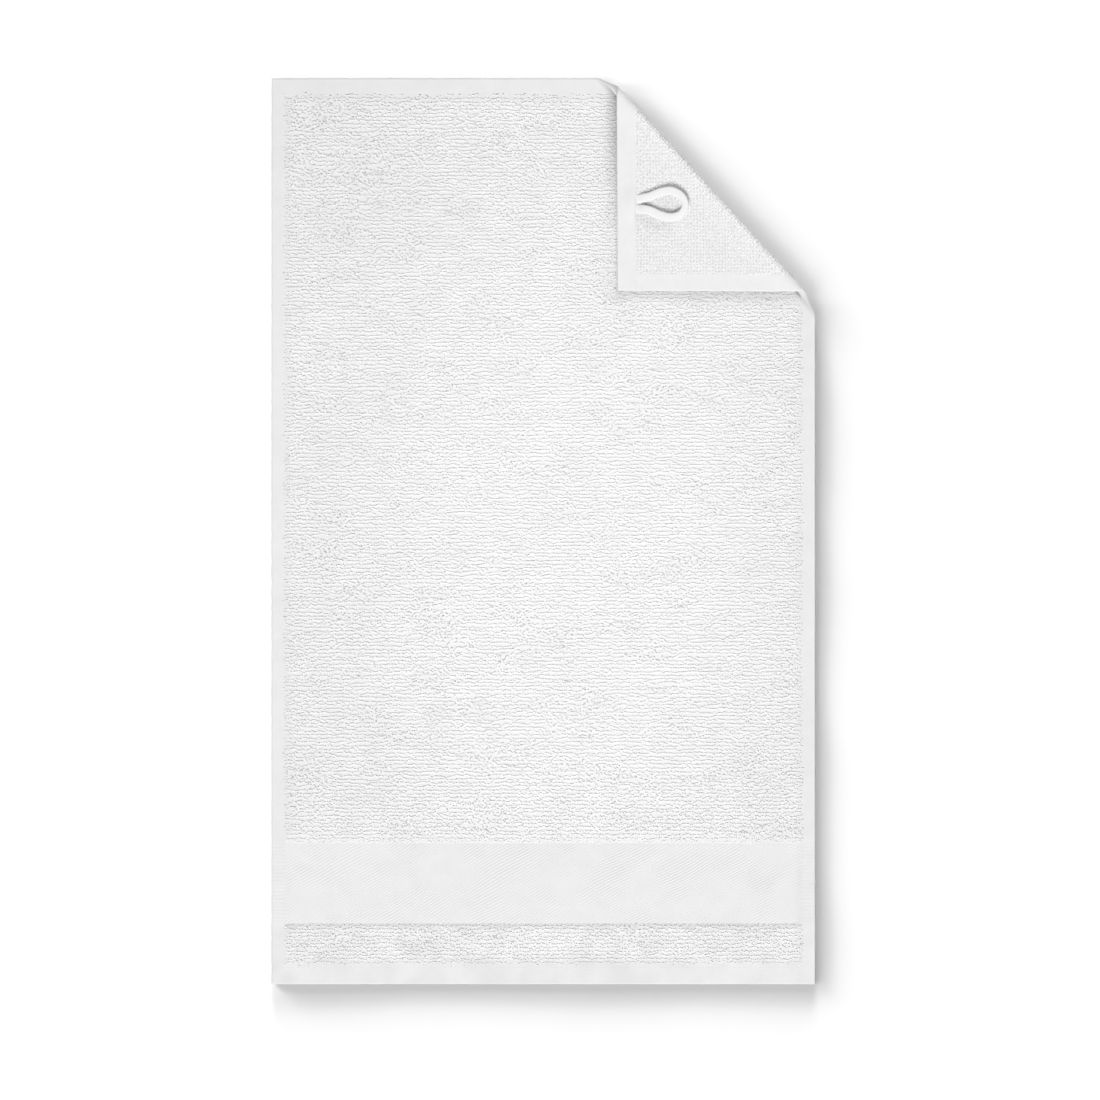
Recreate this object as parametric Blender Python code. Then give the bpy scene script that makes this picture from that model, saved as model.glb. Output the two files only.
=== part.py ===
"""Hand towel: one piece of white terry with a flat woven band and turned hems, lying face up
with a top corner folded over, and the tape loop sewn under the end hem to hang it by.

+X runs across the towel, +Y towards its top end and +Z up. The origin is on the surface
that the towel lies on, under the middle of its outline."""

import math

import bmesh
import bpy
from mathutils import Vector

# The finished towel, in metres
WIDTH = 0.300
LENGTH = 0.500

# Thickness of the cloth, pile included
TERRY = 0.0031
HEM = 0.0023
BAND = 0.0016
STEP = 0.0012  # distance in which the pile rises beside a hem or the band
RIM = 0.0004  # rounding of the outer edge

# Width of the hems. They are wider at the back, where no pile leans over them.
FACE_SIDE_HEM = 0.0075
FACE_END_HEM = 0.0095
BACK_SIDE_HEM = 0.0093
BACK_END_HEM = 0.0123

# The flat woven band, measured from the lower end
BAND_FROM = 0.0323
BAND_TO = 0.0792

# The fold's outer edge leaves the top end and reaches the side here
FOLD_TOP = Vector((0.0365, 0.2500))
FOLD_SIDE = Vector((0.1500, 0.1266))

# Where the folded part lies: its two ends at the fold and the towel's corner
FLAP_TOP = Vector((0.0410, 0.2460))
FLAP_SIDE = Vector((0.1442, 0.1316))
FLAP_CORNER = Vector((0.0407, 0.1324))

ROLL = 0.0024  # radius of the fold at the middle of the cloth
ROLL_STEPS = 8
EASE = 0.0010  # the cloth starts to gather this far before the fold
SETTLE = 0.0110  # the folded part comes down to rest within this distance
GAP = 0.0003  # between two pieces or layers that touch

# Unevenness of washed cloth. It dies out round the hanging loop.
WAVE = 0.00022
CALM_CENTRE = Vector((0.066, 0.180))
CALM_INNER = 0.020
CALM_OUTER = 0.045

CELL = 0.0125  # widest spacing of the mesh

# The hanging loop's tape and the line of its middle, from one end at the hem to the other
TAPE_WIDTH = 0.0048
TAPE_THICK = 0.0013
ROUNDNESS = 0.8  # of its cross section, from a thin oval at 0.55 to a rectangle at 1
TAPE_LIFT = 0.0011  # the loop's round end stands up this much from the cloth under it
TAPE_LINE = (  # x, y, width relative to TAPE_WIDTH
    (0.0514, 0.18295, 1.00),
    (0.0580, 0.18385, 1.00),
    (0.0640, 0.18620, 1.00),
    (0.0704, 0.18710, 0.98),
    (0.0760, 0.18420, 0.84),
    (0.0780, 0.17950, 0.76),
    (0.0758, 0.17470, 0.84),
    (0.0704, 0.17250, 0.98),
    (0.0640, 0.17390, 1.00),
    (0.0580, 0.17650, 1.00),
    (0.0514, 0.17765, 1.00),
)

CORNER = Vector((WIDTH / 2, LENGTH / 2))
ALONG_FOLD = (FOLD_SIDE - FOLD_TOP).normalized()
ACROSS_FOLD = Vector((-ALONG_FOLD.y, ALONG_FOLD.x))
ROLL_START = -math.pi * ROLL / 2
ROLL_END = math.pi * ROLL / 2


def smooth(x):
    """Goes softly from 0 to 1 while x goes from 0 to 1."""
    x = min(max(x, 0.0), 1.0)
    return x * x * (3 - 2 * x)


def rise(distance):
    """How far the pile has risen at this distance past the line where it starts."""
    return min(max(distance / STEP, 0.0), 1.0)


def from_fold(point):
    """How far along the fold's outer edge a point of the flat cloth is, and how far past it."""
    away = point - FOLD_TOP
    return away.dot(ALONG_FOLD), away.dot(ACROSS_FOLD)


def flap_terms():
    """How the folded part is drawn to its place: an offset along the fold, a scale along it,
    a slide along it for each metre past it, and a scale across it."""
    fold_length = (FOLD_SIDE - FOLD_TOP).length
    corner_along, corner_past = from_fold(CORNER)
    top_along = from_fold(FLAP_TOP)[0]
    side_along = from_fold(FLAP_SIDE)[0]
    lies_along, lies_past = from_fold(FLAP_CORNER)
    scale_along = (side_along - top_along) / fold_length
    slide = (lies_along - top_along - scale_along * corner_along) / corner_past
    scale_across = (ROLL_START - lies_past) / (corner_past - ROLL_END)
    return top_along, scale_along, slide, scale_across


DRAWN_ALONG, SCALE_ALONG, SLIDE, SCALE_ACROSS = flap_terms()


def wave(x, y):
    """Height of the cloth's unevenness."""
    away = (Vector((x, y)) - CALM_CENTRE).length
    strength = smooth((away - CALM_INNER) / (CALM_OUTER - CALM_INNER))
    broad = math.sin(41 * x + 23 * y + 0.6) + 0.7 * math.sin(67 * y - 29 * x + 2.1)
    narrow = 0.5 * math.sin(118 * x + 31 * y) * math.sin(97 * y - 44 * x + 0.9)
    return WAVE * strength * (broad + narrow)


def thickness(u, v, folded):
    """Thickness of the flat cloth at a point, where its back shows if it is folded."""
    side_hem, end_hem = (BACK_SIDE_HEM, BACK_END_HEM) if folded else (FACE_SIDE_HEM, FACE_END_HEM)
    inside = rise(WIDTH / 2 - abs(u) - side_hem)
    between = rise(LENGTH / 2 - abs(v) - end_hem)
    low = v + LENGTH / 2
    band = inside * rise(low - BAND_FROM) * rise(BAND_TO - low)
    pile = inside * between * (1 - rise(low - BAND_FROM) * rise(BAND_TO - low))
    return HEM + (TERRY - HEM) * pile + (BAND - HEM) * band


def rounded(u, v, level):
    """Draws the outer edge in at the cloth's back and face, which rounds it."""
    inset = RIM * abs(2 * level - 1)
    half_width, half_length = WIDTH / 2 - inset, LENGTH / 2 - inset
    return min(max(u, -half_width), half_width), min(max(v, -half_length), half_length)


def laid(u, v, level):
    """Where a point of the cloth lies. The level is 0 at the cloth's back and 1 at its face."""
    u, v = rounded(u, v, level)
    along, past = from_fold(Vector((u, v)))
    thick = thickness(u, v, past > ROLL_START)
    if past <= ROLL_START:
        thick += wave(u, v)
    to_face = (level - 0.5) * thick
    turn = min(max((past - ROLL_START) / ROLL, 0.0), math.pi)
    radius = ROLL - to_face

    gathered = smooth((past - ROLL_START + EASE) / (EASE - ROLL_START))
    along += gathered * (DRAWN_ALONG + (SCALE_ALONG - 1) * along) + SLIDE * max(past, 0.0)
    beyond = max(past - ROLL_END, 0.0)
    across = min(past, ROLL_START) + radius * math.sin(turn) - SCALE_ACROSS * beyond
    place = FOLD_TOP + along * ALONG_FOLD + across * ACROSS_FOLD

    height = thick / 2 + ROLL - radius * math.cos(turn)
    rest = TERRY + wave(place.x, place.y) + GAP
    height -= smooth(beyond / SETTLE) * (2 * ROLL - rest)
    return Vector((place.x, place.y, height))


def lines(*stops):
    """The stops and evenly spaced places between them, no further apart than CELL."""
    stops = sorted(stops)
    places = stops[:1]
    for start, end in zip(stops, stops[1:]):
        steps = max(math.ceil((end - start) / CELL - 0.01), 1)
        places += [start + (end - start) * (i + 1) / steps for i in range(steps)]
    return places


def cut(bm, point, normal, past=None):
    """Cuts the flat cloth along a line, or only the part past a distance from the fold."""
    faces = bm.faces[:]
    if past is not None:
        faces = [f for f in faces if from_fold(f.calc_center_median().xy)[1] > past]
    edges = {e for f in faces for e in f.edges}
    verts = {v for f in faces for v in f.verts}
    bmesh.ops.bisect_plane(
        bm,
        geom=[*verts, *edges, *faces],
        dist=1e-6,
        plane_co=(point[0], point[1], 0),
        plane_no=(normal[0], normal[1], 0),
    )


def flat_cloth():
    """The flat cloth as one sheet, cut along its hems, its band and the fold."""
    bm = bmesh.new()
    bmesh.ops.create_grid(bm, x_segments=1, y_segments=1, size=0.5)
    bmesh.ops.scale(bm, vec=(WIDTH, LENGTH, 1), verts=bm.verts)

    side = WIDTH / 2 - FACE_SIDE_HEM
    end = LENGTH / 2 - FACE_END_HEM
    band_from, band_to = BAND_FROM - LENGTH / 2, BAND_TO - LENGTH / 2
    for u in lines(-side, STEP - side, side - STEP, side):
        cut(bm, (u, 0), (1, 0))
    band = (band_from, band_from + STEP, band_to - STEP, band_to)
    for v in lines(-end, STEP - end, *band, end - STEP, end):
        cut(bm, (0, v), (0, 1))

    roll = [ROLL_START + i * ROLL * math.pi / ROLL_STEPS for i in range(ROLL_STEPS + 1)]
    settling = [ROLL_END + SETTLE * share for share in (0.25, 0.5, 0.75, 1.0)]
    for past in (ROLL_START - EASE, *roll, *settling):
        cut(bm, FOLD_TOP + past * ACROSS_FOLD, ACROSS_FOLD)
    for u in (WIDTH / 2 - BACK_SIDE_HEM - STEP, WIDTH / 2 - BACK_SIDE_HEM):
        cut(bm, (u, 0), (1, 0), ROLL_START)
    for v in (LENGTH / 2 - BACK_END_HEM - STEP, LENGTH / 2 - BACK_END_HEM):
        cut(bm, (0, v), (0, 1), ROLL_START)
    bmesh.ops.remove_doubles(bm, verts=bm.verts, dist=0.0001)
    return bm


def cloth():
    """The towel: the flat cloth given its thickness, its edge halved for rounding, and laid."""
    bm = flat_cloth()
    face = bmesh.ops.extrude_face_region(bm, geom=bm.faces[:])["geom"]
    bmesh.ops.translate(bm, vec=(0, 0, 1), verts=[g for g in face if isinstance(g, bmesh.types.BMVert)])
    upright = [e for e in bm.edges if abs(e.verts[0].co.z - e.verts[1].co.z) > 0.5]
    bmesh.ops.subdivide_edges(bm, edges=upright, cuts=1)
    for vert in bm.verts:
        vert.co = laid(*vert.co)
    bmesh.ops.recalc_face_normals(bm, faces=bm.faces)
    bmesh.ops.triangulate(bm, faces=bm.faces[:])
    mesh = bpy.data.meshes.new("towel")
    bm.to_mesh(mesh)
    bm.free()
    return bpy.data.objects.new("towel", mesh)


def tape_section():
    """The tape's cross section, a flat oval. It only guides the tape."""
    section = bpy.data.curves.new("tape_section", "CURVE")
    section.resolution_u = 3
    spline = section.splines.new("BEZIER")
    spline.bezier_points.add(3)
    spline.use_cyclic_u = True
    for i, point in enumerate(spline.bezier_points):
        turn = -i * math.pi / 2
        out = Vector((math.cos(turn), math.sin(turn), 0))
        ahead = Vector((math.sin(turn), -math.cos(turn), 0))
        half = Vector((TAPE_WIDTH / 2, TAPE_THICK / 2, 0))
        point.co = out * half
        point.handle_left = (out - ROUNDNESS * ahead) * half
        point.handle_right = (out + ROUNDNESS * ahead) * half
    ob = bpy.data.objects.new("tape_section", section)
    ob.hide_render = True
    ob.display_type = "WIRE"
    return ob


def hanging_loop(section):
    """The tape's middle line, which rises a little from the hem to its round end, with the
    section along it."""
    line = bpy.data.curves.new("hanging_loop", "CURVE")
    line.dimensions = "3D"
    line.twist_mode = "Z_UP"
    line.resolution_u = 5
    line.bevel_mode = "OBJECT"
    line.bevel_object = section
    line.use_fill_caps = True
    spline = line.splines.new("BEZIER")
    spline.bezier_points.add(len(TAPE_LINE) - 1)
    lying = 2 * TERRY + 2 * GAP + TAPE_THICK / 2
    hem = min(x for x, _, _ in TAPE_LINE)
    tip = max(x for x, _, _ in TAPE_LINE)
    for point, (x, y, width) in zip(spline.bezier_points, TAPE_LINE):
        point.co = (x, y, lying + TAPE_LIFT * smooth((x - hem) / (tip - hem)))
        point.radius = width
        point.handle_left_type = point.handle_right_type = "AUTO"
    return bpy.data.objects.new("hanging_loop", line)


def cotton(name, colour, roughness):
    material = bpy.data.materials.new(name)
    material.use_nodes = True
    shader = material.node_tree.nodes["Principled BSDF"]
    shader.inputs["Base Color"].default_value = (*colour, 1)
    shader.inputs["Roughness"].default_value = roughness
    shader.inputs["Metallic"].default_value = 0
    return material


for old in list(bpy.data.objects):
    bpy.data.objects.remove(old, do_unlink=True)

parts = bpy.data.collections.new("hand_towel")
guides = bpy.data.collections.new("guides")
bpy.context.scene.collection.children.link(parts)
bpy.context.scene.collection.children.link(guides)

towel = cloth()
towel.data.materials.append(cotton("white_terry", (0.87, 0.87, 0.87), 0.95))
towel.data.shade_smooth()
towel.data.set_sharp_from_angle(angle=math.radians(35))
parts.objects.link(towel)

section = tape_section()
guides.objects.link(section)
loop = hanging_loop(section)
loop.data.materials.append(cotton("white_tape", (0.90, 0.90, 0.90), 0.85))
parts.objects.link(loop)
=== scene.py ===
"""White terry hand towel lying face up with a top corner folded over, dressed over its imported
solids. Metres, with +X across the towel, +Y towards its top end and +Z up."""

import math

import bmesh
import bpy
import numpy as np
from mathutils import Matrix, noise


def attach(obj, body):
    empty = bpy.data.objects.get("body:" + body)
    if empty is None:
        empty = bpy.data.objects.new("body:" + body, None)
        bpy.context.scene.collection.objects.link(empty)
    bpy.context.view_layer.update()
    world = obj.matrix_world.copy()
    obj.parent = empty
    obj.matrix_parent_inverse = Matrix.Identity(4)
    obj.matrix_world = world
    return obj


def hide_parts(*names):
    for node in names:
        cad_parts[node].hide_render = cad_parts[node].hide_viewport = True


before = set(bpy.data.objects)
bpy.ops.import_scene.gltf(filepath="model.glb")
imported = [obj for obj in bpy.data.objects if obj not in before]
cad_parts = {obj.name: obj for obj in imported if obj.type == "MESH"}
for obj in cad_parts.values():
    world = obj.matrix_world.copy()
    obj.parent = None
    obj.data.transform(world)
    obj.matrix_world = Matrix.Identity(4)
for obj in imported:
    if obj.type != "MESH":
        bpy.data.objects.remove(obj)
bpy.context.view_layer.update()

# ------------------------------------------------------------------------------------------
# Camera, table and studio light. The towel lies on a pale table in a white room and is seen from
# straight above. Broad lamps past its lower end light the cloth, and a low one the folded corner.
# Lamps for the table alone, low at the left and past the top, lay the towel's soft shadow on it.

VIEW_WIDTH = 0.60665  # what the picture shows across, at the height of the towel's face
VIEW_HEIGHT = 0.003
VIEW_CENTRE = (0.0037, -0.0103)
LENS = 100
SENSOR = 36
TABLE_HALF = 8
TABLE_DROP = 0.0002  # the table top stays this far clear of the cloth
TABLE_GREY = 0.52
ROOM_WHITE = 0.36


def in_scene(name, data):
    """A new object in the scene, made of a camera, a lamp or a mesh."""
    thing = bpy.data.objects.new(name, data)
    bpy.context.scene.collection.objects.link(thing)
    return thing


def shaped(bm, name):
    """The mesh of a piece whose shaping is done."""
    mesh = bpy.data.meshes.new(name)
    bm.to_mesh(mesh)
    bm.free()
    return mesh


camera = bpy.data.cameras.new("camera")
camera.lens = LENS
camera.sensor_width = SENSOR
viewer = in_scene("camera", camera)
viewer.location = (*VIEW_CENTRE, VIEW_HEIGHT + VIEW_WIDTH * LENS / SENSOR)
bpy.context.scene.camera = viewer
bpy.context.scene.view_settings.view_transform = "Standard"

room = bpy.data.worlds.new("room")
room.use_nodes = True
walls = room.node_tree.nodes["Background"].inputs
walls["Color"].default_value = (1, 1, 1, 1)
walls["Strength"].default_value = ROOM_WHITE
bpy.context.scene.world = room

bm = bmesh.new()
bmesh.ops.create_grid(bm, x_segments=1, y_segments=1, size=TABLE_HALF)
bmesh.ops.translate(bm, vec=(0, 0, -TABLE_DROP), verts=bm.verts)
mesh = shaped(bm, "table_top")
table_top = in_scene("table_top", mesh)
lacquer = bpy.data.materials.new("pale_table")
lacquer.use_nodes = True
coat = lacquer.node_tree.nodes["Principled BSDF"].inputs
coat["Base Color"].default_value = (*[TABLE_GREY] * 3, 1)
coat["Roughness"].default_value = 0.9
coat["Specular IOR Level"].default_value = 0.0
mesh.materials.append(lacquer)

lit_face = bpy.data.collections.new("lit_face")
lit_cloth = bpy.data.collections.new("lit_cloth")
lit_table = bpy.data.collections.new("lit_table")
lit_table.objects.link(table_top)
shading = bpy.data.collections.new("shading")
for name, round_from_x, above_table, width, power, lit, blocked in (  # angles in degrees
    ("face_lamp_soft", -105, 45, 20, 0.35, lit_face, None),
    ("face_lamp_main", -105, 47, 24, 2.35, lit_face, shading),
    ("cloth_lamp_soft", -105, 45, 20, 0.35, lit_cloth, None),
    ("cloth_lamp_main", -105, 47, 24, 2.35, lit_cloth, shading),
    ("cloth_lamp_fold", 43, 18, 30, 1.10, lit_cloth, shading),
    ("table_lamp_above", 0, 90, 60, 0.75, lit_table, None),
    ("table_lamp_left", 195, 20, 40, 4.00, lit_table, None),
    ("table_lamp_upper_left", 150, 7, 22, 9.60, lit_table, None),
    ("table_lamp_low", 135, 4, 18, 8.00, lit_table, None),
    ("table_lamp_upper_low", 92, 4, 20, 15.80, lit_table, None),
):
    light = bpy.data.lights.new(name, "SUN")
    light.angle = math.radians(width)
    light.energy = power
    lamp = in_scene(name, light)
    lamp.rotation_euler = (0, math.radians(90 - above_table), math.radians(round_from_x))
    lamp.light_linking.receiver_collection = lit
    lamp.light_linking.blocker_collection = blocked

# ------------------------------------------------------------------------------------------
# The cloth. One length of cotton woven flat at its band and edges, with a ground weave from
# which the pile rises elsewhere. Its four edges are turned to the back and sewn, and its top
# right corner is folded over, so its back shows there.

WIDTH = 0.300
LENGTH = 0.500
TERRY = 0.0031  # thickness of the cloth with its pile
HEM = 0.0023  # its thickness in the hems
BAND = 0.0016  # and in the band
PILE = 0.00075  # how far the loops stand above the ground weave
STEP = 0.0012  # each change of thickness takes this distance
FACE_SIDE_HEM = 0.0075  # how far in the flat hems reach, on the face and on the back
FACE_END_HEM = 0.0095
BACK_SIDE_HEM = 0.0093
BACK_END_HEM = 0.0123
LOWER_HEM = 0.0110  # the pile starts this far from the lower end
PILE_SIDE = WIDTH / 2 - FACE_SIDE_HEM  # where the face's pile ends at the sides
PILE_END = LENGTH / 2 - FACE_END_HEM  # and at the ends
BAND_FROM = 0.0323  # the band's edges, from the lower end
BAND_TO = 0.0792
BAND_LOW = BAND_FROM - LENGTH / 2  # the same as v
BAND_HIGH = BAND_TO - LENGTH / 2
BAND_REACH = 0.0006  # the pile above the band reaches this far over its edge
ROW = 0.00204  # from one row of loops to the next
ROWS_FROM = BAND_HIGH - ROW * 0.10
FOLD_TOP = np.array((0.0365, 0.2500))  # the ends of the fold's outer edge
FOLD_SIDE = np.array((0.1500, 0.1266))
FLAP_TOP = np.array((0.0410, 0.2460))  # the corners of the folded part, where it lies
FLAP_SIDE = np.array((0.1442, 0.1316))
FLAP_CORNER = np.array((0.0407, 0.1324))
ROLL = 0.0024  # radius of the roll at the fold, on the cloth's middle
ROLL_STEPS = 16
ROLL_EDGE = 0.003  # the pile goes over from face to back within this distance before the roll
EASE = 0.0010  # the cloth begins to be drawn along the fold this far before the roll
SETTLE = 0.0110  # past the roll the corner comes down onto the face over this distance
SETTLE_STEPS = 6
GAP = 0.0003  # between the folded corner and the face that it lies on
WAVE = 0.00022  # height of the cloth's unevenness
CALM_CENTRE = (0.066, 0.180)  # the cloth lies even under the hanging loop
CALM_INNER = 0.020
CALM_OUTER = 0.045
CELL = 0.0040  # the cloth's mesh has faces of this size at most
RIM = 0.0004  # how far the turned edge is rounded
RIM_STEPS = 4
RIM_SHADE = 0.25  # painted shade on the turned edge, so that it does not light up brighter than the hem
FOLD_SHADE = 0.35  # and painted shade on the inside of the fold
BESIDE = 0.0004  # a cut this far beside each step in the thickness keeps it crisp
OVERLAP = 0.00045  # the end hem is sewn over the ends of the side hems
TUCK = 0.0013  # the hem rises over the ends of the hanging loop
TUCK_PLACE = (0.0478, 0.1803)
TUCK_SIZE = (0.0042, 0.0082)
LIGHT_POOL_CENTRE = (0.015, -0.020)  # painted light on the face is brightest here and falls off away from it
CORNER_SHADE_REACH = 0.120  # painted shade reaches this far from the top left corner
EDGE_REACH = 0.0060  # the pile's edges are greyed as far in as this
SHADOW_BESIDE_REACH = 0.0085  # painted shadow on the cloth beside the folded corner reaches as far out as this
SHADOW_BESIDE_FROM = 0.16  # this painted shadow grows from here towards the top end
SHADOW_BESIDE_RISE = 0.08
SHADOW_BELOW_REACH = 0.007  # painted shadow on the cloth below the folded corner reaches as far down as this
CLOUDS = (0.011, 0.008, 61.7)  # their reach across and along the towel, and their seed
HEM_THREADS = 0.0011  # from one thread to the next
BAND_THREADS = 0.0007
GROUND_THREADS = (0.0013, 0.00102)
TWILL_LINES = 0.00150  # from one line of the twill to the next
TWILL_SLOPE = 0.52  # radians

ALONG_FOLD = (FOLD_SIDE - FOLD_TOP) / np.linalg.norm(FOLD_SIDE - FOLD_TOP)
ACROSS_FOLD = np.array((-ALONG_FOLD[1], ALONG_FOLD[0]))
ROLL_START = -math.pi * ROLL / 2  # where the roll lies on the flat cloth, past the outer edge
ROLL_END = math.pi * ROLL / 2


def smooth(x):
    """Goes softly from 0 to 1 while x goes from 0 to 1."""
    x = np.clip(x, 0, 1)
    return x * x * (3 - 2 * x)


def rise(distance, within=STEP):
    """Goes straight from 0 to 1 over this distance past a line."""
    return np.clip(distance / within, 0, 1)


def from_fold(x, y):
    """How far along the fold's outer edge points of the flat cloth are, and how far past it."""
    x, y = x - FOLD_TOP[0], y - FOLD_TOP[1]
    return x * ALONG_FOLD[0] + y * ALONG_FOLD[1], x * ACROSS_FOLD[0] + y * ACROSS_FOLD[1]


def flap_terms():
    """How the folded part is drawn to its place along the fold and across it."""
    corner_along, corner_past = from_fold(WIDTH / 2, LENGTH / 2)
    top_along = from_fold(*FLAP_TOP)[0]
    side_along = from_fold(*FLAP_SIDE)[0]
    lies_along, lies_past = from_fold(*FLAP_CORNER)
    scale_along = (side_along - top_along) / np.linalg.norm(FOLD_SIDE - FOLD_TOP)
    slide = (lies_along - top_along - scale_along * corner_along) / corner_past
    return top_along, scale_along, slide, (ROLL_START - lies_past) / (corner_past - ROLL_END)


DRAWN_ALONG, SCALE_ALONG, SLIDE, SCALE_ACROSS = flap_terms()


def wave(x, y):
    """Height of the washed cloth's unevenness."""
    away = np.hypot(x - CALM_CENTRE[0], y - CALM_CENTRE[1])
    strength = smooth((away - CALM_INNER) / (CALM_OUTER - CALM_INNER))
    broad = np.sin(41 * x + 23 * y + 0.6) + 0.7 * np.sin(67 * y - 29 * x + 2.1)
    narrow = 0.5 * np.sin(118 * x + 31 * y) * np.sin(97 * y - 44 * x + 0.9)
    return WAVE * strength * (broad + narrow)


def in_pile(u, v, folded):
    """Share of the pile's height that stands at a point, and of the band's flat weave."""
    inside = rise(WIDTH / 2 - abs(u) - np.where(folded, BACK_SIDE_HEM, FACE_SIDE_HEM))
    between = rise(LENGTH / 2 - abs(v) - np.where(folded, BACK_END_HEM, FACE_END_HEM))
    low = v + LENGTH / 2
    banded = rise(low - BAND_FROM) * rise(BAND_TO - low)
    return inside * between * (1 - banded), inside * banded


def from_pile_edge(u, v):
    """How far inside the pile's edges points of the face are."""
    low = v + LENGTH / 2
    sides = np.minimum(PILE_SIDE - abs(u), low - LOWER_HEM)
    from_band = np.where(low < BAND_FROM, 1.0, low - BAND_TO + BAND_REACH)
    return np.minimum(sides, np.minimum(PILE_END - v, from_band))


def drift(u, v, across, along, seed):
    """Soft random numbers from about -1 to 1 that change over these distances on the cloth."""
    return np.array([2 * noise.noise((a / across, b / along, seed)) for a, b in zip(u, v)])


def painted_shade_and_tone(u, v):
    """How far points of the face are darkened: painted light that falls off away from its middle,
    painted shade in its top left corner, greying along the pile's edges, painted shadow close
    beside and below the folded corner, and clouds of random tone all over."""
    # Painted light: the face is lightest at its bright centre and grows darker outward.
    centre_u, centre_v = LIGHT_POOL_CENTRE
    outward = smooth(np.hypot((u - centre_u) / WIDTH, (v - centre_v) / LENGTH) * 3.0 - 0.5)
    # Painted shade in the top left corner, where the loops are thrown about.
    corner_shade = smooth(1.25 - np.hypot(u + WIDTH / 2, v - LENGTH / 2) / CORNER_SHADE_REACH)
    edge = 1 - smooth(from_pile_edge(u, v) / EDGE_REACH)
    # Painted shadow of the folded corner on the cloth close beside it, strongest towards the top end.
    left, bottom = FLAP_TOP[0], FLAP_CORNER[1]
    shadow_beside = smooth((u - left + SHADOW_BESIDE_REACH) / SHADOW_BESIDE_REACH) * (u < left + 0.001)
    shadow_beside = shadow_beside * smooth((v - bottom + 0.002) / 0.004) * smooth((v - SHADOW_BESIDE_FROM) / SHADOW_BESIDE_RISE)
    # Painted shadow of the folded corner on the cloth just below it.
    below = smooth((v - bottom + SHADOW_BELOW_REACH) / SHADOW_BELOW_REACH) * (u > left - 0.001)
    clouds = drift(u, v, *CLOUDS) * np.where(v < BAND_LOW, 0.060, 0.022)
    return 0.085 * outward + 0.07 * corner_shade + 0.05 * edge + 0.47 * shadow_beside + 0.25 * below + clouds


def laid(u, v, level, to_face=0.0):
    """Where points of the flat cloth lie, as rows of x, y and z. The level is 0 at the cloth's
    back and 1 at its face, and to_face moves them out of the face or into the back."""
    along, past = from_fold(u, v)
    folded = past > ROLL_START
    pile, band = in_pile(u, v, folded)
    thick = HEM + (TERRY - HEM) * pile + (BAND - HEM) * band
    thick = thick + np.where(folded, 0, wave(u, v))
    to_face = (level - 0.5) * thick + to_face
    turn = np.clip((past - ROLL_START) / ROLL, 0, math.pi)
    radius = ROLL - to_face

    gathered = smooth((past - ROLL_START + EASE) / (EASE - ROLL_START))
    along = along + gathered * (DRAWN_ALONG + (SCALE_ALONG - 1) * along)
    along = along + SLIDE * np.maximum(past, 0)
    beyond = np.maximum(past - ROLL_END, 0)
    across = np.minimum(past, ROLL_START) + radius * np.sin(turn) - SCALE_ACROSS * beyond
    x = FOLD_TOP[0] + along * ALONG_FOLD[0] + across * ACROSS_FOLD[0]
    y = FOLD_TOP[1] + along * ALONG_FOLD[1] + across * ACROSS_FOLD[1]

    z = thick / 2 + ROLL - radius * np.cos(turn)
    rest = TERRY + wave(x, y) + GAP
    z = z - smooth(beyond / SETTLE) * (2 * ROLL - rest)
    return np.stack((x, y, z), axis=-1)


def lines(*stops):
    """The stops and evenly spaced places between them, no further apart than CELL."""
    stops = sorted(stops)
    places = stops[:1]
    for start, end in zip(stops, stops[1:]):
        steps = max(math.ceil((end - start) / CELL - 0.01), 1)
        places += [start + (end - start) * (i + 1) / steps for i in range(steps)]
    return places


def cut(bm, point, normal, past=None):
    """Cuts the flat cloth along a line, or only the part past a distance from the fold."""
    faces = bm.faces[:]
    if past is not None:
        faces = [f for f in faces if from_fold(*f.calc_center_median().xy)[1] > past]
    bmesh.ops.bisect_plane(
        bm,
        geom=[
            *dict.fromkeys(vert for face in faces for vert in face.verts),
            *dict.fromkeys(edge for face in faces for edge in face.edges),
            *faces,
        ],
        dist=1e-6,
        plane_co=(point[0], point[1], 0),
        plane_no=(normal[0], normal[1], 0),
    )


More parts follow.
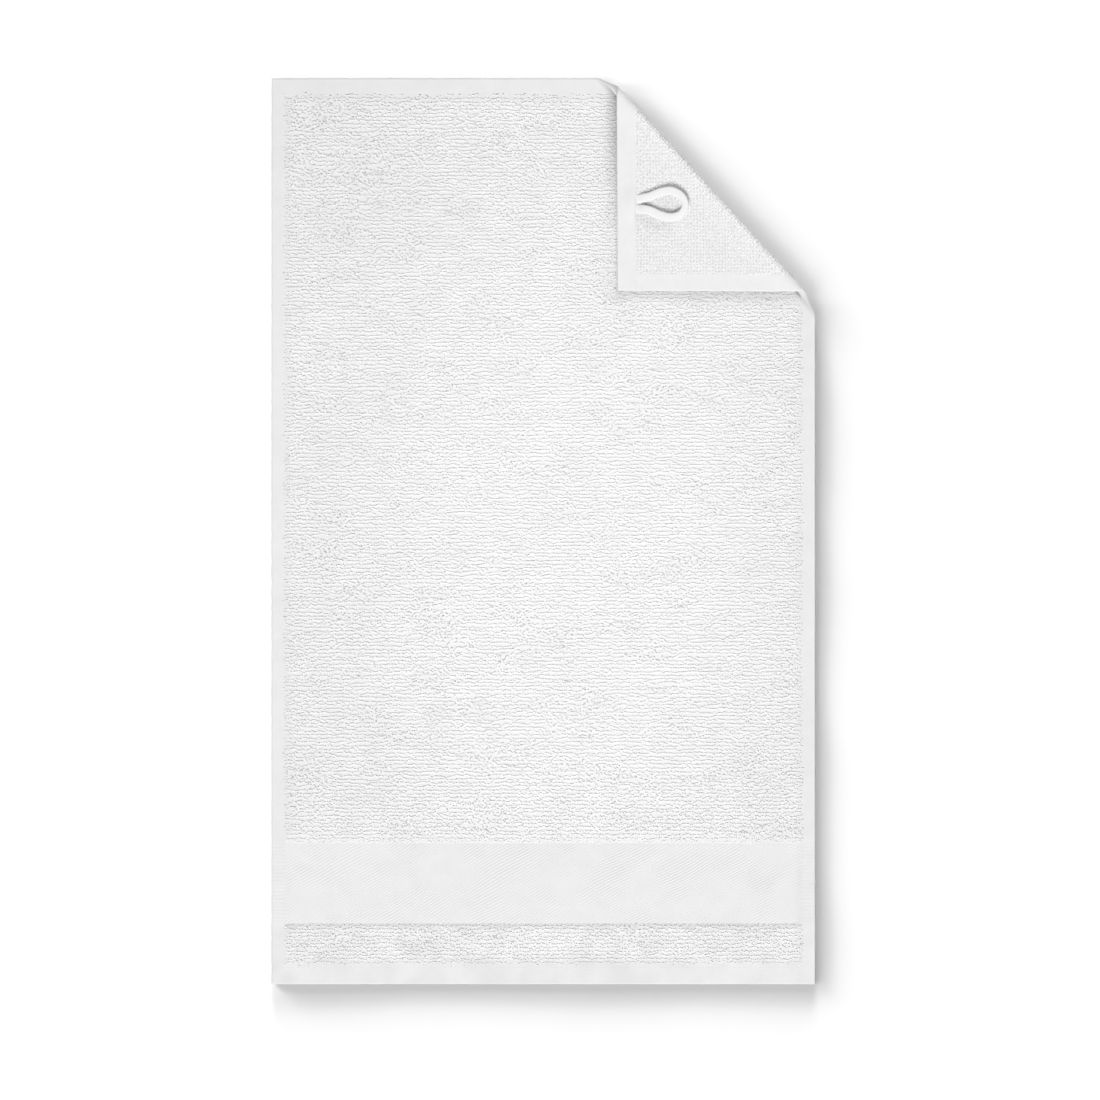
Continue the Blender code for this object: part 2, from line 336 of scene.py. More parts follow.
def flat_cloth():
    """The flat cloth with its two sides at heights 0 and 1, cut where its weave changes."""
    bm = bmesh.new()
    bmesh.ops.create_grid(bm, x_segments=1, y_segments=1, size=0.5)
    bmesh.ops.scale(bm, vec=(WIDTH, LENGTH, 1), verts=bm.verts)
    side, end, low, high = PILE_SIDE, PILE_END, BAND_LOW, BAND_HIGH
    rim = RIM + BESIDE
    up = lines(-side, STEP - side, side - STEP, side)
    for u in (rim - WIDTH / 2, -side - BESIDE, *up, side + BESIDE, WIDTH / 2 - rim):
        cut(bm, (u, 0), (1, 0))
    across = lines(-end, STEP - end, low, low + STEP, high - STEP, high, end - STEP, end)
    beside_hems = (-end - BESIDE, LOWER_HEM - LENGTH / 2)
    beside_band = (low + STEP + BESIDE, high - STEP - BESIDE)
    for v in (rim - LENGTH / 2, *across, *beside_hems, *beside_band, end + BESIDE, LENGTH / 2 - rim):
        cut(bm, (0, v), (0, 1))
    turns = [ROLL_START + i * ROLL * math.pi / ROLL_STEPS for i in range(ROLL_STEPS + 1)]
    settling = [ROLL_END + SETTLE * i / SETTLE_STEPS for i in range(1, SETTLE_STEPS + 1)]
    for past in (ROLL_START - ROLL_EDGE, ROLL_START - EASE, *turns, *settling):
        cut(bm, FOLD_TOP + past * ACROSS_FOLD, ACROSS_FOLD)
    for width in (BACK_SIDE_HEM + STEP, BACK_SIDE_HEM, BACK_SIDE_HEM - BESIDE, BACK_SIDE_HEM / 2):
        cut(bm, (WIDTH / 2 - width, 0), (1, 0), ROLL_START)
    for width in (BACK_END_HEM + STEP, BACK_END_HEM, BACK_END_HEM - BESIDE, BACK_END_HEM / 2):
        cut(bm, (0, LENGTH / 2 - width), (0, 1), ROLL_START)
    bmesh.ops.remove_doubles(bm, verts=bm.verts, dist=0.0001)
    face = bmesh.ops.extrude_face_region(bm, geom=bm.faces[:])["geom"]
    face = [part for part in face if isinstance(part, bmesh.types.BMVert)]
    bmesh.ops.translate(bm, vec=(0, 0, 1), verts=face)
    upright = [e for e in bm.edges if abs(e.verts[0].co.z - e.verts[1].co.z) > 0.5]
    bmesh.ops.subdivide_edges(bm, edges=upright, cuts=RIM_STEPS - 1)
    bmesh.ops.recalc_face_normals(bm, faces=bm.faces)
    return bm


class Value:
    """An output of a shader node, which can stand in a sum."""

    def __init__(self, finish, socket):
        self.finish = finish
        self.socket = socket

    def maths(self, operation, *values):
        return self.finish.node("Math", {"operation": operation}, dict(enumerate(values)))

    def __add__(self, other):
        return self.maths("ADD", self, other)

    def __radd__(self, other):
        return self.maths("ADD", other, self)

    def __sub__(self, other):
        return self.maths("SUBTRACT", self, other)

    def __rsub__(self, other):
        return self.maths("SUBTRACT", other, self)

    def __mul__(self, other):
        return self.maths("MULTIPLY", self, other)

    def __rmul__(self, other):
        return self.maths("MULTIPLY", other, self)

    def sine(self):
        return self.maths("SINE", self)

    def ripple(self, length):
        """A wave that repeats over this distance."""
        return (self * (2 * math.pi / length)).sine()

    def size(self):
        return self.maths("ABSOLUTE", self)

    def between(self, low, high):
        """0 below low, 1 above high, and a straight rise between them."""
        values = {0: self, 1: low, 2: high, 3: 0.0, 4: 1.0}
        return self.finish.node("MapRange", {"clamp": True}, values)


class Finish:
    """A cotton material, whose nodes are all added by the method node."""

    def __init__(self, name, roughness=0.95, sheen=0.15):
        self.material = bpy.data.materials.new(name)
        self.material.use_nodes = True
        self.tree = self.material.node_tree
        self.shader = self.tree.nodes["Principled BSDF"]
        self.shader.inputs["Roughness"].default_value = roughness
        self.shader.inputs["Specular IOR Level"].default_value = 0.15
        self.shader.inputs["Sheen Weight"].default_value = sheen
        self.shader.inputs["Sheen Roughness"].default_value = 0.6

    def node(self, kind, settings=None, values=None, output=0):
        node = self.tree.nodes.new("ShaderNode" + kind)
        for name, value in (settings or {}).items():
            setattr(node, name, value)
        for name, value in (values or {}).items():
            self.join(node.inputs[name], value)
        return Value(self, node.outputs[output])

    def join(self, socket, value):
        if isinstance(value, Value):
            self.tree.links.new(value.socket, socket)
        else:
            socket.default_value = value

    def place(self):
        """x, y and z of the point in metres, where it lies."""
        return self.node("TexCoord", output="Object")

    def on_cloth(self):
        """The point's place on the flat cloth, in metres, as u, v and the vector of both."""
        spot = self.node("UVMap", {"uv_map": "flat_cloth"})
        return self.parts(spot), spot

    def parts(self, vector):
        first = self.node("SeparateXYZ", values={0: vector})
        return [Value(self, output) for output in first.socket.node.outputs]

    def cloud(self, vector, scale, detail=2.0):
        """Soft random numbers from 0 to 1 with this many changes in a metre."""
        return self.node("TexNoise", values={"Vector": vector, "Scale": scale, "Detail": detail})

    def shaded(self):
        """How far this point is darkened: mostly painted light and shade, with some random tone."""
        return self.node("Attribute", {"attribute_name": "shaded"}, output=2)

    def mix(self, first, second, share):
        """A colour between two colours. A grey may be given as one number."""
        first, second = ((*[c] * 3, 1) if isinstance(c, float) else c for c in (first, second))
        return self.node("Mix", {"data_type": "RGBA"}, {0: share, 6: first, 7: second}, output=2)

    def finish(self, colour, relief, depth):
        self.join(self.shader.inputs["Base Color"], colour)
        bump = self.node("Bump", values={"Height": relief, "Distance": depth, "Strength": 1.0})
        self.join(self.shader.inputs["Normal"], bump)
        return self.material


def plain_weave(name, base):
    """Flat plain weave of the hems and edges, with ribs beside the band."""
    finish = Finish(name, sheen=0.1)
    (u, v, _), spot = finish.on_cloth()
    threads = u.ripple(HEM_THREADS) * v.ripple(HEM_THREADS)
    uneven = finish.cloud(spot, 700, 3.0)
    start, stop = BAND_FROM + 0.002, BAND_TO - 0.001
    low = v + LENGTH / 2
    ribbed = low.between(start - 0.001, start) * (1 - low.between(stop, stop + 0.001))
    ribs = v.ripple(ROW) * ribbed
    relief = threads * 0.16 + uneven * 0.8 + ribs * 0.30
    broad = finish.cloud(spot, 160, 3.0)
    share = base + broad * 0.15 + threads * 0.006 + ribs * 0.008 - finish.shaded()
    return finish.finish(finish.mix(0.45, 0.90, share), relief, depth=0.00012)


def twill_band():
    """Fine twill, whose lines rise to the right and show more in some patches than in others."""
    finish = Finish("twill_band", roughness=0.85, sheen=0.1)
    (u, v, _), spot = finish.on_cloth()
    sway = finish.cloud(spot, 14, 1.0) * 0.012
    aslant = v * math.cos(TWILL_SLOPE) - u * math.sin(TWILL_SLOPE)
    line = (aslant + sway).ripple(TWILL_LINES)
    patch = finish.cloud(spot, 46, 2.0).between(0.42, 0.62)
    threads = u.ripple(BAND_THREADS) * v.ripple(BAND_THREADS)
    uneven = finish.cloud(spot, 700, 2.0)
    relief = line * (0.25 + patch * 0.75) * 0.8 + threads * 0.15 + uneven * 0.3
    broad = finish.cloud(spot, 90, 3.0)
    colour = finish.mix(0.75, 0.82, broad + line * (0.05 + patch * 0.15))
    # A painted shadow line along the band's lower edge, where the pile below it begins.
    edge_shadow = (v - BAND_LOW + (finish.cloud(spot, 120, 1.0) - 0.5) * 0.0008).size()
    colour = finish.mix(0.55, colour, edge_shadow.between(0.0001, 0.0007))
    return finish.finish(colour, relief, depth=0.00010)


def ground_weave(name, dark, light, base, between):
    """Coarse ground weave from which the loops rise. It can have painted shade between their rows."""
    finish = Finish(name)
    (u, v, _), spot = finish.on_cloth()
    sway = finish.cloud(spot, 420, 1.0) * 0.0016
    threads = (u + sway).ripple(GROUND_THREADS[0]) * (v - sway).ripple(GROUND_THREADS[1])
    relief = threads * 0.6 + finish.cloud(spot, 1200, 2.0) * 0.5
    # Painted shade between the rows of loops, as strong as the between argument gives.
    rows = (v - ROWS_FROM).ripple(ROW)
    share = threads * 0.05 + base + rows * between - finish.shaded()
    return finish.finish(finish.mix(dark, light, share), relief, depth=0.00015)


def pile_underneath():
    """The looped back of the towel where it lies on the table, as low relief."""
    finish = Finish("pile_underneath", sheen=0.25)
    (_, v, _), spot = finish.on_cloth()
    sway = finish.cloud(spot, 110, 2.0) * 0.0035
    rows = (v + sway).ripple(ROW)
    loops = finish.node("TexVoronoi", values={"Vector": spot, "Scale": 720.0})
    relief = rows * 0.4 - loops * 0.9
    # Its colour is darker where the relief is low: painted shade in the hollows between the loops.
    return finish.finish(finish.mix(0.80, 0.90, 0.6 + rows * 0.25 - loops * 0.5), relief, depth=0.0005)


WOVEN_EDGE, TWILL_BAND, FACE_GROUND, PILE_UNDERNEATH, TURNED_HEM, BACK_GROUND = range(6)


def weave_at(middle):
    """Which finish a face of the flat cloth has, from its middle."""
    folded = from_fold(middle.x, middle.y)[1] > ROLL_START
    face_up = middle.z > 0.9
    pile, band = in_pile(middle.x, middle.y, folded)
    if pile > 0.4 and (not face_up or middle.y > LOWER_HEM - LENGTH / 2):
        if face_up == folded:
            return PILE_UNDERNEATH
        return BACK_GROUND if folded else FACE_GROUND
    if band > 0:
        return TWILL_BAND
    return WOVEN_EDGE if face_up else TURNED_HEM


def grey_points(mesh, grey):
    """Keeps how far each point is darkened by painted light, shade and tone, for the finishes to read.
    """
    mesh.attributes.new("shaded", "FLOAT", "POINT").data.foreach_set("value", grey)


bm = flat_cloth()
weave_map = bm.loops.layers.uv.new("flat_cloth")
for face in bm.faces:
    face.material_index = weave_at(face.calc_center_median())
    for corner in face.loops:
        corner[weave_map].uv = corner.vert.co.xy
flat = np.array([vert.co for vert in bm.verts])
level = flat[:, 2]
inset = RIM * (1 - np.sqrt(np.maximum(1 - (2 * level - 1) ** 2, 0)))
u = np.clip(flat[:, 0], inset - WIDTH / 2, WIDTH / 2 - inset)
v = np.clip(flat[:, 1], inset - LENGTH / 2, LENGTH / 2 - inset)
past = from_fold(u, v)[1]
turned = smooth((past - ROLL_START + ROLL_EDGE) / ROLL_EDGE)
pile, _ = in_pile(u, v, past > ROLL_START)
sunk = PILE * pile * ((1 - level) * turned - level * (1 - turned))
sunk = sunk - OVERLAP * (1 - level) * turned * rise(v - LENGTH / 2 + BACK_END_HEM, BESIDE)
places = laid(u, v, level, sunk)
places[:, 2] = np.maximum(places[:, 2], 0)
from_tuck_x = (places[:, 0] - TUCK_PLACE[0]) / TUCK_SIZE[0]
from_tuck_y = (places[:, 1] - TUCK_PLACE[1]) / TUCK_SIZE[1]
tucked = 1 - smooth(np.hypot(from_tuck_x, from_tuck_y) - 0.35)
places[:, 2] += TUCK * tucked * (1 - level) * (past > ROLL_END)
for vert, place in zip(bm.verts, places):
    vert.co = place
mesh = shaped(bm, "towel_cloth")
# The cloth's painted light and shade: on the open face, and painted shade inside the fold.
grey = painted_shade_and_tone(u, v) * (past < ROLL_START) + FOLD_SHADE * turned * (level > 0.9)
# The turned edges all round carry painted shade.
grey_points(mesh, np.where(abs(level - 0.5) < 0.4, RIM_SHADE, grey))
finishes = {
    WOVEN_EDGE: plain_weave("woven_edge", 0.77),
    TWILL_BAND: twill_band(),
    FACE_GROUND: ground_weave("face_ground", 0.40, 0.97, base=0.84, between=0.0),
    PILE_UNDERNEATH: pile_underneath(),
    TURNED_HEM: plain_weave("turned_hem", 0.70),
    BACK_GROUND: ground_weave("back_ground", 0.50, 0.93, base=0.60, between=0.18),
}
for number in sorted(finishes):
    mesh.materials.append(finishes[number])
mesh.shade_smooth()
towel_cloth = in_scene("towel_cloth", mesh)
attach(towel_cloth, "root")
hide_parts("towel")
shading.objects.link(towel_cloth)

# ------------------------------------------------------------------------------------------
# The pile. Cotton yarn woven up out of the ground weave in small loops, row after row. Washing
# has laid them over, mostly along their rows, and in places has thrown the rows about.

FACE_STEP = 0.00134  # from one loop of a row to the next
BACK_STEP = 0.00190
YARN = 0.00046  # radius of the yarn
BACK_YARN = 0.00040
YARN_FLAT = 0.75  # the yarn's thickness relative to its width
BACK_YARN_FLAT = 0.90
YARN_SIDES = 3
LOOP_STEPS = 3
ROOT = 0.00025  # the loops start this far down in the ground weave
STRAY = 0.0010  # the loops at the edges of the pile stand this far out over the hems at most
OVER_BAND = (0.0007, 0.0008)  # and over the band's lower and upper edges
LOW_LOOPS = 0.86  # height of the loops below the band, relative to the others
EDGE_LOOPS = 0.48  # height of the loops at the pile's edges
EDGE_RISE = 0.0058  # they reach the full height this far in
EDGE_LEANS = (0.7, 0.5)  # lean of the loops at the sides and at the ends, outwards
EDGE_LEAN_REACH = 0.0010
UNDER_CORNER = 0.0055  # no loops stand further than this under the folded corner
FACE_STOP = 0.0005  # the face's loops stop this far before the roll
BACK_START = 0.0012  # the back's loops start this far into it
MOST_LOOPS = 9700  # in one piece
SLANT = (0.35, 0.20)  # of the map for baking
FACE_LOOPS = (  # width, height, how far the feet stand in, turn of the top in degrees
    (0.00140, 0.00102, 0.15, 15),
    (0.00115, 0.00110, 0.25, -35),
    (0.00170, 0.00094, 0.10, 40),
    (0.00125, 0.00114, 0.30, -10),
)
BACK_LOOPS = ((0.00125, 0.00104, 0.15, 10), (0.00105, 0.00096, 0.10, -20))
THROWN = (0.021, 0.010, 3.7)  # reach across and along the towel, and seed, here and below
ROW_BENDS = (0.0100, 0.0032, 1.3)
LOOP_SHIFTS = (0.0034, 0.0015, 5.1)
STRAYS = (0.004, 0.004, 7.7)
TURNS = (0.0045, 0.0030, 11.3)
LEANS = (0.008, 0.005, 23.1)
LEANS_ACROSS = (0.006, 0.004, 31.9)
HEIGHTS = (0.012, 0.009, 41.3)
BACK_BENDS = (0.0090, 0.0060, 1.3)


def loop_of_yarn(wide, high, pinch, turn, yarn, flat, sides, steps):
    """One loop standing on z = 0, as its corners and its triangles."""
    bm = bmesh.new()
    ring = bmesh.ops.create_circle(bm, segments=sides, radius=yarn)["verts"]
    bmesh.ops.rotate(bm, cent=(0, 0, 0), matrix=Matrix.Rotation(math.pi / 2, 3, "Z"), verts=ring)
    bmesh.ops.scale(bm, vec=(flat, 1, 1), verts=ring)
    bmesh.ops.translate(bm, vec=(wide / 2, 0, 0), verts=ring)
    ring = bm.verts[:] + bm.edges[:]
    bmesh.ops.spin(bm, geom=ring, cent=(0, 0, 0), axis=(0, 1, 0), angle=-math.pi, steps=steps)
    bmesh.ops.holes_fill(bm, edges=[e for e in bm.edges if e.is_boundary])
    bmesh.ops.scale(bm, vec=(1, 1, (high - yarn / 2) / (wide / 2)), verts=bm.verts)
    for vert in bm.verts:
        up = vert.co.z / high
        vert.co.x *= 1 - pinch * (1 - up)
        angle = math.radians(turn) * up
        x, y = vert.co.x, vert.co.y
        vert.co.x = x * math.cos(angle) - y * math.sin(angle)
        vert.co.y = x * math.sin(angle) + y * math.cos(angle)
    bmesh.ops.recalc_face_normals(bm, faces=bm.faces)
    bmesh.ops.triangulate(bm, faces=bm.faces[:])
    bm.verts.index_update()
    corners = np.array([vert.co for vert in bm.verts])
    triangles = np.array([[vert.index for vert in face.verts] for face in bm.faces])
    bm.free()
    return corners, triangles


def rows_of_roots(step, jitter, seed):
    """Where the loops stand on the flat cloth, row by row, with ragged ends."""
    chance = np.random.default_rng(seed)
    side = PILE_SIDE + STRAY
    below = np.arange(ROW * 0.25 - PILE_END, BAND_LOW + STRAY, ROW)
    above = np.arange(BAND_HIGH - ROW * 0.35, PILE_END + STRAY, ROW)
    v, u = np.meshgrid(np.concatenate((below, above)), np.arange(-side, side, step), indexing="ij")
    u = u + chance.uniform(-jitter, jitter, (len(u), 1)) * step
    u = u + chance.normal(0, 0.15, u.shape) * step
    return u.ravel(), v.ravel(), chance


def copies(name, shapes, ground, roots, turn, lean, size, shaded, chance, finish):
    """One piece joined from copies of a few small shapes that stand on the cloth's face, where
    ground is 1, or on its back, where it is 0. They carry painted shade, a little more at their feet."""
    kind = chance.integers(0, len(shapes), len(turn))
    corners, triangles, greys, count = [], [], [], 0
    for number, (points, faces) in enumerate(shapes):
        mine = kind == number
        u, v, turned, lean_u, lean_v, wide, tall = (
            values[mine, None] for values in (*roots, turn, *lean, *size)
        )
        x, y, up = points[:, 0] * wide, points[:, 1], points[:, 2] * tall
        u = (u + x * np.cos(turned) - y * np.sin(turned) + lean_u * up).ravel()
        v = (v + x * np.sin(turned) + y * np.cos(turned) + lean_v * up).ravel()
        share, _ = in_pile(u, v, from_fold(u, v)[1] > ROLL_START)
        out = up.ravel() - ROOT - PILE * share
        spots = laid(u, v, ground, out * (2 * ground - 1))
        spots[:, 2] = np.maximum(spots[:, 2], 0)
        corners.append(spots)
        starts = count + len(points) * np.arange(mine.sum())
        triangles.append((faces[None] + starts[:, None, None]).reshape(-1, 3))
        # Painted shade, deeper at the loops' feet where the pile shades itself.
        shade_at_feet = 1.10 - 0.2 * points[:, 2] / points[:, 2].max()
        greys.append((shaded[mine, None] * shade_at_feet).ravel())
        count += len(points) * int(mine.sum())
    corners, triangles = np.concatenate(corners), np.concatenate(triangles)
    mesh = bpy.data.meshes.new(name)
    mesh.from_pydata(corners.tolist(), [], triangles.tolist())
    mesh.shade_smooth()
    mesh.materials.append(finish)
    grey_points(mesh, np.concatenate(greys))
    # Its map for baking is the piece seen a little aslant, so that upright sides have room too.
    spread = corners[:, :2] + corners[:, 2:] * SLANT
    spread = (spread - spread.min(axis=0)) / (spread.max(axis=0) - spread.min(axis=0))
    mesh.uv_layers.new(name="OFBake").data.foreach_set("uv", spread[triangles.ravel()].ravel())
    piece = in_scene(name, mesh)
    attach(piece, "root")
    return piece


def pile_cotton(name, dark, light):
    """Soft white cotton yarn, a little uneven from loop to loop."""
    finish = Finish(name, roughness=1.0, sheen=0.2)
    place = finish.place()
    strands = finish.cloud(place, 1500, 2.0)
    fibres = finish.cloud(place, 4200, 2.0)
    single = finish.cloud(place, 900, 1.0).between(0.30, 0.70)
    colour = finish.mix(dark, light, 0.92 + single * 0.12 - finish.shaded())
    return finish.finish(colour, strands * 0.75 + fibres * 0.25, depth=0.00040)


def thrown_about(x, y):
    """How far the wash has thrown the loops about, from 0 to 1. It is most at the left side and in
    the top left corner."""
    left = 0.45 - (x + WIDTH / 2) / 0.080
    corner = 1.40 - np.hypot(x + WIDTH / 2, y - LENGTH / 2) / 0.100
    patches = 0.06 + 0.8 * drift(x, y, *THROWN)
    return smooth(patches + np.maximum(np.maximum(left, corner), 0))


def lying(u, v, patch, chance):
    """How the loops lie: their turn, their lean along the rows and across, and their size."""
    turn = chance.normal(0, 0.42 + 0.55 * patch) + 0.6 * patch * drift(u, v, *TURNS)
    lean_u = 0.25 * drift(u, v, *LEANS) + chance.normal(0, 0.18 + 0.15 * patch)
    lean_v = 0.30 * drift(u, v, *LEANS_ACROSS) + chance.normal(0, 0.30 + 0.15 * patch)
    wide = chance.normal(1, 0.12, len(u)) * (1 - 0.12 * patch)
    tall = chance.normal(1, 0.10) + 0.05 * drift(u, v, *HEIGHTS)
    return turn, [lean_u, lean_v], [wide, tall]


def under_corner(place):
    """Which points lie far enough under the folded corner to be out of sight."""
    under = np.ones(len(place), bool)
    flap = (FLAP_TOP, FLAP_SIDE, FLAP_CORNER, FLAP_TOP)
    for start, stop in zip(flap, flap[1:]):
        inward = np.array((stop[1] - start[1], start[0] - stop[0])) / np.linalg.norm(stop - start)
        inside = (place[:, 0] - start[0]) * inward[0] + (place[:, 1] - start[1]) * inward[1]
        under &= inside > UNDER_CORNER
    return under


sides_and_steps = (YARN_SIDES, LOOP_STEPS)
face_loops = [loop_of_yarn(*sizes, YARN, YARN_FLAT, *sides_and_steps) for sizes in FACE_LOOPS]
back_loops = [loop_of_yarn(*sizes, BACK_YARN, BACK_YARN_FLAT, *sides_and_steps) for sizes in BACK_LOOPS]
face_cotton = pile_cotton("face_cotton", 0.40, 0.995)
back_cotton = pile_cotton("back_cotton", 0.55, 0.99)

# The face's loops, whose rows sway and whose ends stray over the hems.
u, v, chance = rows_of_roots(FACE_STEP, jitter=0.5, seed=11)
patch = thrown_about(u, v)
sway = 0.00024 * drift(u, v, *ROW_BENDS) + 0.00026 * drift(u, v, *LOOP_SHIFTS)
v = v + sway * (1 + patch) + chance.normal(0, 0.00026 + 0.00014 * patch)
u = u + chance.normal(0, 0.00025 * patch)
stray = 0.0004 * drift(u, v, *STRAYS) + chance.normal(0.0001, 0.0005, len(u))
stray = np.clip(stray, -0.0008, STRAY)
low = v + LENGTH / 2
kept = from_fold(u, v)[1] < ROLL_START - FACE_STOP
kept &= ~under_corner(laid(u, v, 1.0)) & (abs(u) < PILE_SIDE + stray)
kept &= (v < PILE_END + stray) & (low > LOWER_HEM - stray)
kept &= (low < BAND_FROM + OVER_BAND[0] + stray / 2) | (low > BAND_TO - OVER_BAND[1] - stray / 2)
u, v, patch = u[kept], v[kept], patch[kept]
turn, lean, size = lying(u, v, patch, chance)
size[1] = size[1] * (EDGE_LOOPS + (1 - EDGE_LOOPS) * smooth(from_pile_edge(u, v) / EDGE_RISE))
size[1] = size[1] * np.where(v < BAND_LOW, LOW_LOOPS, 1)
# Painted shade on the face's loops, a little more where they are thrown about, with the face's painted
# light and shade.
shaded = 0.03 + 0.05 * patch + painted_shade_and_tone(u, v)
near_side = np.exp(-np.maximum(PILE_SIDE - abs(u), 0) / EDGE_LEAN_REACH)
near_end = np.exp(-np.maximum(PILE_END - abs(v), 0) / EDGE_LEAN_REACH)
lean[0] = lean[0] + np.sign(u) * EDGE_LEANS[0] * near_side
lean[1] = lean[1] + np.sign(v) * EDGE_LEANS[1] * near_end
face_pile = []
for number, mine in enumerate(np.array_split(np.arange(len(u)), math.ceil(len(u) / MOST_LOOPS)), 1):
    face_pile.append(
        copies(
            f"face_pile_{number}",
            face_loops,
            1.0,
            (u[mine], v[mine]),
            turn[mine],
            [values[mine] for values in lean],
            [values[mine] for values in size],
            shaded[mine],
            chance,
            face_cotton,
        )
    )

# The loops on the back of the folded corner, set closer where the cloth is rolled.
u, v, chance = rows_of_roots(BACK_STEP, jitter=0.1, seed=29)
v = v + 0.00012 * drift(u, v, *BACK_BENDS)
past = from_fold(u, v)[1]
rolled = (past > ROLL_START) & (past < ROLL_END)
u = np.concatenate((u, u[rolled] + BACK_STEP / 2))
v = np.concatenate((v, v[rolled] + ROW / 2))
kept = (from_fold(u, v)[1] > ROLL_START + BACK_START) & (u < WIDTH / 2 - BACK_SIDE_HEM)
kept &= v < LENGTH / 2 - BACK_END_HEM
u, v = u[kept], v[kept]
even = 0 * u
turn, lean, size = lying(u, v, even, chance)
turn = 0.25 + 0.5 * turn
back_pile = copies("back_pile", back_loops, 0.0, (u, v), turn, lean, size, even, chance, back_cotton)

# ------------------------------------------------------------------------------------------
# The hem stitching. A lockstitch of white cotton thread that holds the turned hems all round,
# just inside the pile's edge. It runs right through, so it shows again on the folded corner.

STITCH = 0.0024  # length of a stitch
STITCH_HEIGHT = 0.0004
STITCH_STEP = 0.0029  # from one stitch to the next
THREAD = 0.00016  # radius of the thread
SIDE_SEAM = 0.0070  # from the towel's edge
END_SEAM = 0.0092


def sewing_thread():
    """Twisted white thread with a slight gloss."""
    finish = Finish("sewing_thread", roughness=0.7, sheen=0.1)
    place = finish.place()
    strands = finish.cloud(place, 3500, 1.0)
    return finish.finish(finish.mix(0.84, 0.90, strands), strands, depth=0.00006)


def seam():
    """Where the stitches stand on the flat cloth, and how each is turned."""
    side, end = WIDTH / 2 - SIDE_SEAM, LENGTH / 2 - END_SEAM
    up = np.arange(STITCH_STEP - end, end - STITCH_STEP / 2, STITCH_STEP)
    across = np.arange(STITCH_STEP - WIDTH / 2, WIDTH / 2 - STITCH_STEP / 2, STITCH_STEP)
    u = np.concatenate((0 * up - side, 0 * up + side, across, across))
    v = np.concatenate((up, up, 0 * across - end, 0 * across + end))
    return u, v, np.repeat((math.pi / 2, 0.0), (2 * len(up), 2 * len(across)))


stitch = loop_of_yarn(STITCH, STITCH_HEIGHT, 0.0, 0, THREAD, flat=1, sides=5, steps=4)
u, v, turn = seam()
past = from_fold(u, v)[1]
chance = np.random.default_rng(5)
stitches = []
for name, ground, mine in (
    ("face_stitching", 1.0, past < ROLL_START),
    ("back_stitching", 0.0, past > 0),
):
    still = 0 * u[mine]
    turned = turn[mine] + chance.normal(0, 0.03, mine.sum())
    lean, size = (still, still), (still + 1, still + 1)
    roots, thread = (u[mine], v[mine]), sewing_thread()
    stitches.append(copies(name, [stitch], ground, roots, turned, lean, size, still, chance, thread))

# ------------------------------------------------------------------------------------------
# The hanging loop. A length of soft woven cotton tape bent into an eye, whose two ends are
# sewn under the turned end hem at the back of the towel.

TAPE_WIDTH = 0.0048
TAPE_THICK = 0.0013
TAPE_ROUND = 0.75  # how round the tape's section is: 1 is an ellipse and 0 a rectangle
TAPE_LIFT = 0.0011  # the tip of the eye stands this far up
TAPE_LINE = (  # x, y, width relative to TAPE_WIDTH
    (0.0514, 0.18295, 1.00),
    (0.0580, 0.18385, 1.00),
    (0.0640, 0.18620, 1.00),
    (0.0704, 0.18710, 0.98),
    (0.0760, 0.18420, 0.84),
    (0.0780, 0.17950, 0.76),
    (0.0758, 0.17470, 0.84),
    (0.0704, 0.17250, 0.98),
    (0.0640, 0.17390, 1.00),
    (0.0580, 0.17650, 1.00),
    (0.0514, 0.17765, 1.00),
)
TAPE_END = 0.0485  # the ends run on to this x under the hem
TAPE_ROOT = 0.0054  # height of the tape's middle under the hem
TAPE_CLIMB = (0.0500, 0.0062)  # it climbs out from this x, over this distance
TAPE_RIBS = 0.00072  # from one rib to the next
KNOT_STEPS = 40
TAPE_STEPS = 132
TAPE_SIDES = 20


def tape_line():
    """The tape's middle line in even steps, with its width, as rows of x, y, z and width."""
    first, last = TAPE_LINE[0], TAPE_LINE[-1]
    knots = [(TAPE_END, first[1], 1.0), *TAPE_LINE, (TAPE_END, last[1], 1.0)]
    knots = np.array([knots[0], *knots, knots[-1]])
    fine = []
    for i in range(1, len(knots) - 2):
        t = np.linspace(0, 1, KNOT_STEPS, endpoint=False)[:, None]
        a, b, c, d = knots[i - 1], knots[i], knots[i + 1], knots[i + 2]
        bend, twist = 2 * a - 5 * b + 4 * c - d, 3 * b - a - 3 * c + d
        fine.append(0.5 * (2 * b + (c - a) * t + bend * t**2 + twist * t**3))
    fine = np.concatenate((*fine, knots[-1:]))
    gone = np.concatenate(([0], np.cumsum(np.linalg.norm(np.diff(fine[:, :2], axis=0), axis=1))))
    even = np.linspace(0, gone[-1], TAPE_STEPS + 1)
    x, y, width = (np.interp(even, gone, column) for column in fine.T)
    resting = 2 * TERRY + 2 * GAP + TAPE_THICK / 2
    hem, tip = TAPE_LINE[0][0], max(row[0] for row in TAPE_LINE)
    z = resting + TAPE_LIFT * smooth((x - hem) / (tip - hem))
    z = TAPE_ROOT + (z - TAPE_ROOT) * smooth((x - TAPE_CLIMB[0]) / TAPE_CLIMB[1])
    return np.stack((x, y, z, width), axis=1), gone[-1]


def rounded(part):
    """A cosine or sine as a tape's section takes it."""
    return math.copysign(abs(part) ** TAPE_ROUND, part)


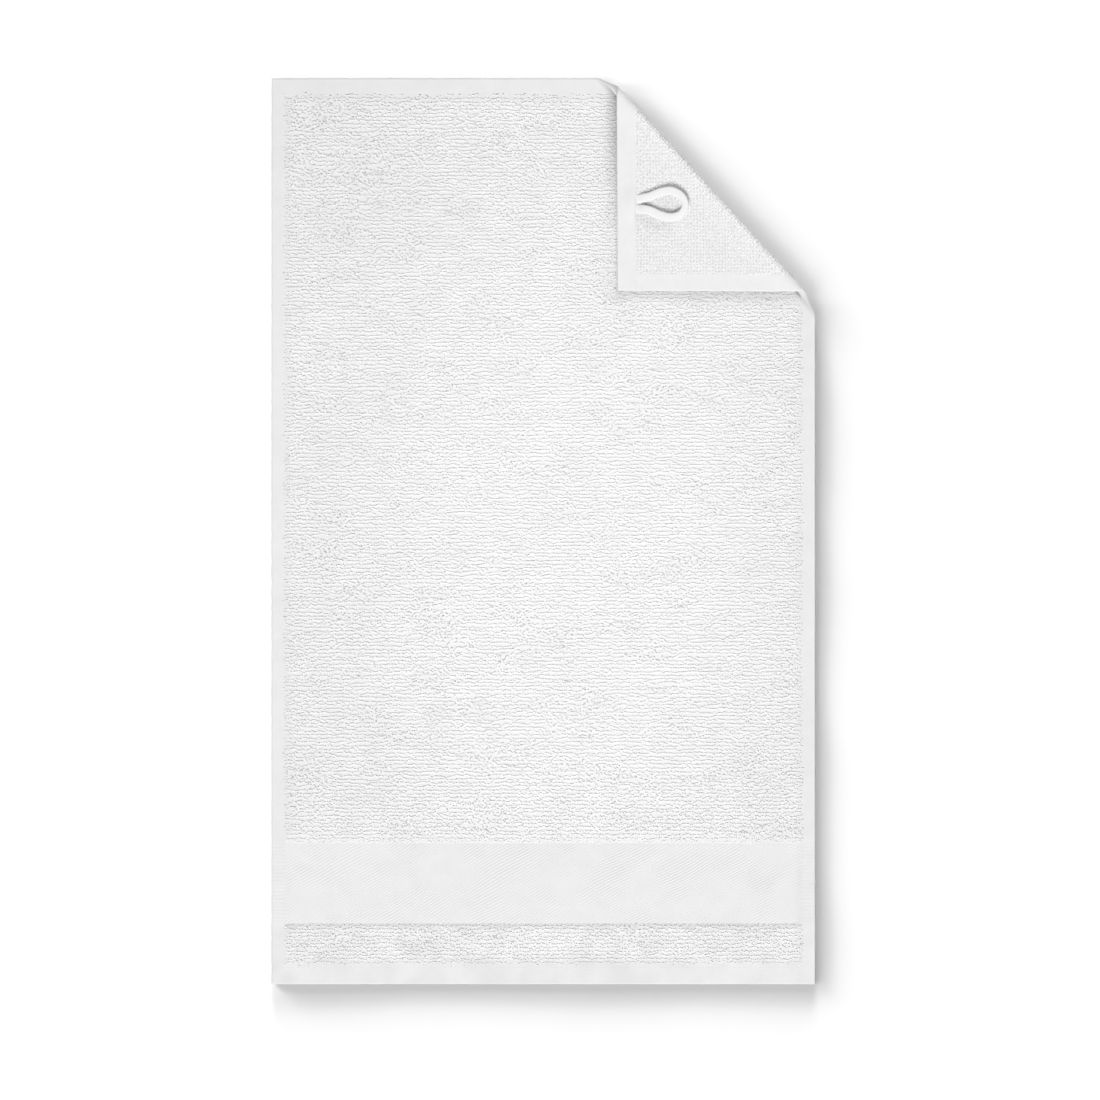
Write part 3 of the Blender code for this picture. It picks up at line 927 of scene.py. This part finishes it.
bm = bmesh.new()
bm.loops.layers.uv.new("tape")
bmesh.ops.create_grid(bm, x_segments=TAPE_STEPS, y_segments=TAPE_SIDES, size=0.5, calc_uvs=True)
line, tape_length = tape_line()
ahead = np.gradient(line[:, :3], axis=0)
ahead /= np.linalg.norm(ahead, axis=1)[:, None]
outward = np.stack((ahead[:, 1], -ahead[:, 0], 0 * ahead[:, 0]), axis=1)
outward /= np.linalg.norm(outward, axis=1)[:, None]
upward = np.cross(outward, ahead)
for vert in bm.verts:
    station = round((vert.co.x + 0.5) * TAPE_STEPS)
    angle = (vert.co.y + 0.5) * 2 * math.pi
    across = rounded(math.cos(angle)) * TAPE_WIDTH / 2 * line[station, 3]
    out = rounded(math.sin(angle)) * TAPE_THICK / 2
    vert.co = line[station, :3] + across * outward[station] + out * upward[station]
bmesh.ops.remove_doubles(bm, verts=bm.verts, dist=1e-6)
bmesh.ops.holes_fill(bm, edges=[e for e in bm.edges if e.is_boundary])
bmesh.ops.recalc_face_normals(bm, faces=bm.faces)
mesh = shaped(bm, "loop_tape")
mesh.shade_smooth()


def tape_weave():
    """Fine herringbone ribs that run slanting from the tape's middle to its edges."""
    finish = Finish("tape_weave", roughness=0.85, sheen=0.1)
    along, around, _ = finish.parts(finish.node("UVMap", {"uv_map": "tape"}))
    slant = (around * 2 * math.pi).sine().size() * 0.0016
    ribs = (along * tape_length + slant).ripple(TAPE_RIBS)
    relief = ribs * 0.35 + finish.cloud(finish.place(), 800, 2.0) * 0.6
    return finish.finish(finish.mix(0.82, 0.87, 0.5 + ribs * 0.25), relief, depth=0.00008)


mesh.materials.append(tape_weave())
loop_tape = in_scene("loop_tape", mesh)
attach(loop_tape, "root")
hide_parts("hanging_loop")
shading.objects.link(loop_tape)

# ------------------------------------------------------------------------------------------
# The towel as a whole. It is one cloth with its loops, stitches and tape. Each piece is lit by one
# group of lamps only, because one in two groups would not look the same in each render.

for piece in (*face_pile, stitches[0]):
    lit_face.objects.link(piece)
for piece in (towel_cloth, loop_tape, back_pile, stitches[1]):
    lit_cloth.objects.link(piece)
